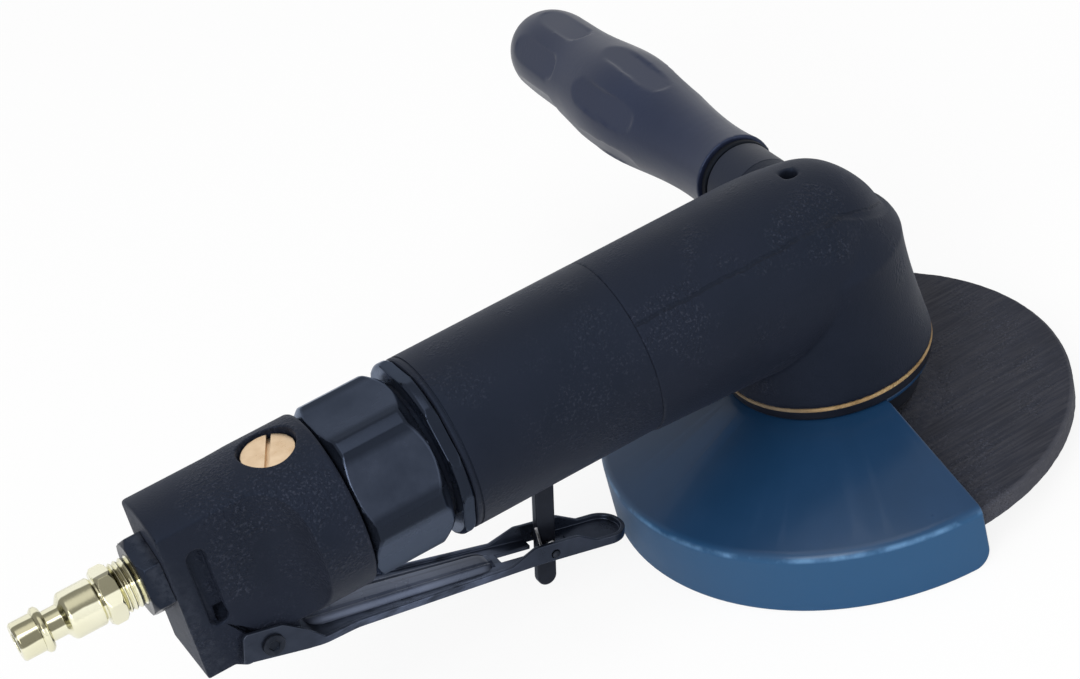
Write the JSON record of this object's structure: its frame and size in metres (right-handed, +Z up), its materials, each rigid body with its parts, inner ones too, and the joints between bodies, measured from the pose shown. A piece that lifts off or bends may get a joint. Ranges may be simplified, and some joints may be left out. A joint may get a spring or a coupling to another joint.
{
  "type": "pneumatic angle grinder",
  "caption": "Compact air-driven angle grinder with a side handle, a lever throttle with a folding lock-off latch, a wheel guard and a depressed-centre disc.",
  "frame": {"origin": "centre of the end face of the spindle's free threaded nose, under the disc", "axes": "+X runs forward along the motor body towards the gear head, from the air inlet at -X; +Y runs out along the side handle; +Z runs up along the spindle, away from the disc"},
  "size_m": [0.2872, 0.2171, 0.0919],
  "materials": {
    "head_black": "cast aluminium under a fine textured black coat",
    "sleeve_black": "turned aluminium under a fine textured black coat",
    "nut_black": "smooth glossy blue-black coat on steel",
    "cover_black": "smooth black coat on steel",
    "guard_paint": "glossy dark blue-black paint on sheet steel",
    "lever_paint": "semi-gloss dark grey coat on steel",
    "grip_plastic": "satin charcoal plastic",
    "neck_black": "satin black coat on steel",
    "seal_rubber": "black nitrile rubber",
    "gasket_paper": "tan fibre sheet",
    "regulator_brass": "turned brass, slightly brushed",
    "plug_plating": "polished yellowish plating on steel",
    "disc_abrasive": "dark abrasive grit bonded with resin and glass cloth",
    "bare_steel": "machined steel",
    "motor_iron": "ground grey iron",
    "vane_composite": "brown fibre composite",
    "fastener_black": "black oxide steel"
  },
  "bodies": {
    "housing": {"throttle_housing": "head_black", "inlet_bushing": "cover_black", "inlet_screen": "bare_steel", "air_nipple": "plug_plating", "valve_seat_bush": "bare_steel", "stem_seal": "seal_rubber", "valve_spring": "bare_steel", "coupling_nut": "nut_black", "lock_ring": "nut_black", "snap_ring": "bare_steel", "motor_housing": "sleeve_black", "gear_head_housing": "head_black", "motor_cylinder": "motor_iron", "rear_end_plate": "motor_iron", "front_end_plate": "motor_iron", "rear_rotor_bearing": "bare_steel", "front_rotor_bearing": "bare_steel", "pinion_bearing": "bare_steel", "dowel_pin": "bare_steel", "upper_spindle_bearing": "bare_steel", "lower_spindle_bearing": "bare_steel", "retaining_ring": "bare_steel", "head_gasket": "gasket_paper", "bearing_cover": "cover_black", "cover_screws": "fastener_black", "handle_stud": "neck_black", "handle_ring": "seal_rubber", "side_handle_grip": "grip_plastic", "lever_pivot_pin": "bare_steel"},
    "motor_rotor": {"rotor": "bare_steel", "rotor_vanes": "vane_composite", "bevel_pinion": "bare_steel"},
    "output_spindle": {"spindle": "bare_steel", "crown_gear": "bare_steel", "gear_key": "bare_steel", "inner_flange": "bare_steel", "grinding_disc": "disc_abrasive", "flange_nut": "bare_steel"},
    "guard": {"wheel_guard": "guard_paint", "guard_clamp_band": "fastener_black", "clamp_screw": "fastener_black", "clamp_nut": "fastener_black"},
    "lever": {"throttle_lever": "lever_paint", "latch_pin": "bare_steel", "latch_spring": "bare_steel"},
    "latch": {"safety_latch": "lever_paint"},
    "throttle_valve": {"valve_plunger": "bare_steel"},
    "regulator": {"regulator_screw": "regulator_brass", "regulator_seal": "seal_rubber"}
  },
  "joints": [
    {"name": "spindle_spin", "type": "hinge", "parent": "housing", "child": "output_spindle", "pos_m": [0, 0, 0], "axis": [0, 0, 1], "continuous": true},
    {"name": "rotor_spin", "type": "hinge", "parent": "housing", "child": "motor_rotor", "pos_m": [-0.079, 0, 0.0604], "axis": [1, 0, 0], "continuous": true},
    {"name": "lever_press", "type": "hinge", "parent": "housing", "child": "lever", "pos_m": [-0.17, 0, 0.0388], "axis": [0, -1, 0], "range_deg": [0, 7], "stiffness_Nm_per_rad": 3, "springref_deg": -8.59},
    {"name": "valve_lift", "type": "slide", "parent": "housing", "child": "throttle_valve", "axis": [0, 0, 1], "range_m": [0, 0.0024], "deforming": ["valve_spring"]},
    {"name": "latch_fold", "type": "hinge", "parent": "lever", "child": "latch", "pos_m": [-0.0915, 0, 0.01498], "axis": [0, 1, 0], "range_deg": [0, 70.5]},
    {"name": "regulator_turn", "type": "hinge", "parent": "housing", "child": "regulator", "pos_m": [-0.152, 0, 0.0754], "axis": [0, 0, 1], "range_deg": [0, 180]},
    {"name": "guard_turn", "type": "hinge", "parent": "housing", "child": "guard", "pos_m": [0, 0, 0.0204], "axis": [0, 0, 1], "range_deg": [-90, 90]}
  ],
  "couplings": [
    {"joint": "rotor_spin", "follows": "spindle_spin", "ratio": -2.3333},
    {"joint": "valve_lift", "follows": "lever_press", "m_per_rad": 0.01955},
    {"joint": "latch_fold", "follows": "lever_press", "ratio": 10}
  ]
}
